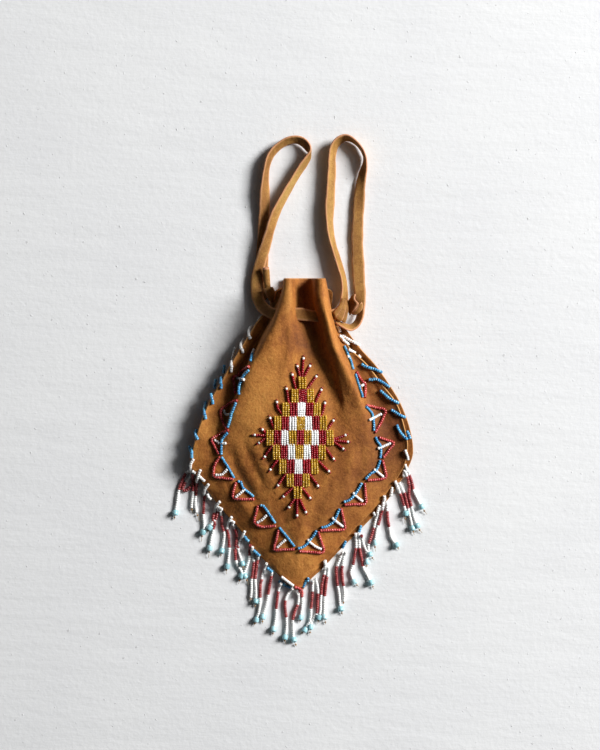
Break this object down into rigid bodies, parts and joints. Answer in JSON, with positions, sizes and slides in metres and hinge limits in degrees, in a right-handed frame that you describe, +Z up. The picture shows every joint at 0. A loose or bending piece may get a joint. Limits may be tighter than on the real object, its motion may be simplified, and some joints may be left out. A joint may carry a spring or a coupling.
{
  "type": "beaded medicine bag",
  "caption": "Soft leather drawstring pouch lying flat, with a beaded lozenge and border on the front, whip-stitched seams, a bead fringe and leather laces.",
  "frame": {"origin": "centre of the bounding box of everything but the free laces, at its bottom, in the plane the bag lies on", "axes": "+X to the right of the front, +Y towards the neck, +Z up out of the front face"},
  "size_m": [0.1908, 0.3831, 0.0294],
  "materials": {
    "leather_front": "soft worn tan suede-like hide",
    "leather_back": "soft worn brown hide",
    "leather_lace": "smooth tan lace with paler cut edges",
    "beads_medallion": "opaque glossy seed beads in red, yellow and white",
    "beads_border": "opaque glossy seed beads in red, blue and white",
    "beads_seam": "opaque glossy seed beads in white and blue",
    "beads_fringe": "opaque glossy seed beads in white and brick red with turquoise end beads"
  },
  "bodies": {
    "root": {"back_panel": "leather_back", "beaded_medallion": "beads_medallion", "border_triangle_00": "beads_border", "border_triangle_01": "beads_border", "border_triangle_02": "beads_border", "border_triangle_03": "beads_border", "border_triangle_04": "beads_border", "border_triangle_05": "beads_border", "border_triangle_06": "beads_border", "border_triangle_07": "beads_border", "border_triangle_08": "beads_border", "border_triangle_09": "beads_border", "border_triangle_10": "beads_border", "border_triangle_11": "beads_border", "border_triangle_12": "beads_border", "border_triangle_13": "beads_border", "border_triangle_14": "beads_border", "border_triangle_15": "beads_border", "drawstring_left": "leather_lace", "drawstring_right": "leather_lace", "fringe_pair_21_22": "beads_fringe", "fringe_pair_23_24": "beads_fringe", "fringe_pair_25_26": "beads_fringe", "fringe_pair_27_28": "beads_fringe", "fringe_strand_01": "beads_fringe", "fringe_strand_02": "beads_fringe", "fringe_strand_03": "beads_fringe", "fringe_strand_04": "beads_fringe", "fringe_strand_05": "beads_fringe", "fringe_strand_06": "beads_fringe", "fringe_strand_07": "beads_fringe", "fringe_strand_08": "beads_fringe", "fringe_strand_09": "beads_fringe", "fringe_strand_10": "beads_fringe", "fringe_strand_11": "beads_fringe", "fringe_strand_12": "beads_fringe", "fringe_strand_13": "beads_fringe", "fringe_strand_14": "beads_fringe", "fringe_strand_15": "beads_fringe", "fringe_strand_16": "beads_fringe", "fringe_strand_17": "beads_fringe", "fringe_strand_18": "beads_fringe", "fringe_strand_19": "beads_fringe", "fringe_strand_20": "beads_fringe", "fringe_strand_29": "beads_fringe", "fringe_strand_30": "beads_fringe", "fringe_strand_31": "beads_fringe", "fringe_strand_32": "beads_fringe", "fringe_strand_33": "beads_fringe", "fringe_strand_34": "beads_fringe", "fringe_strand_35": "beads_fringe", "fringe_strand_36": "beads_fringe", "front_panel": "leather_front", "seam_stitches_left": "beads_seam", "seam_stitches_right": "beads_seam"}
  },
  "joints": []
}
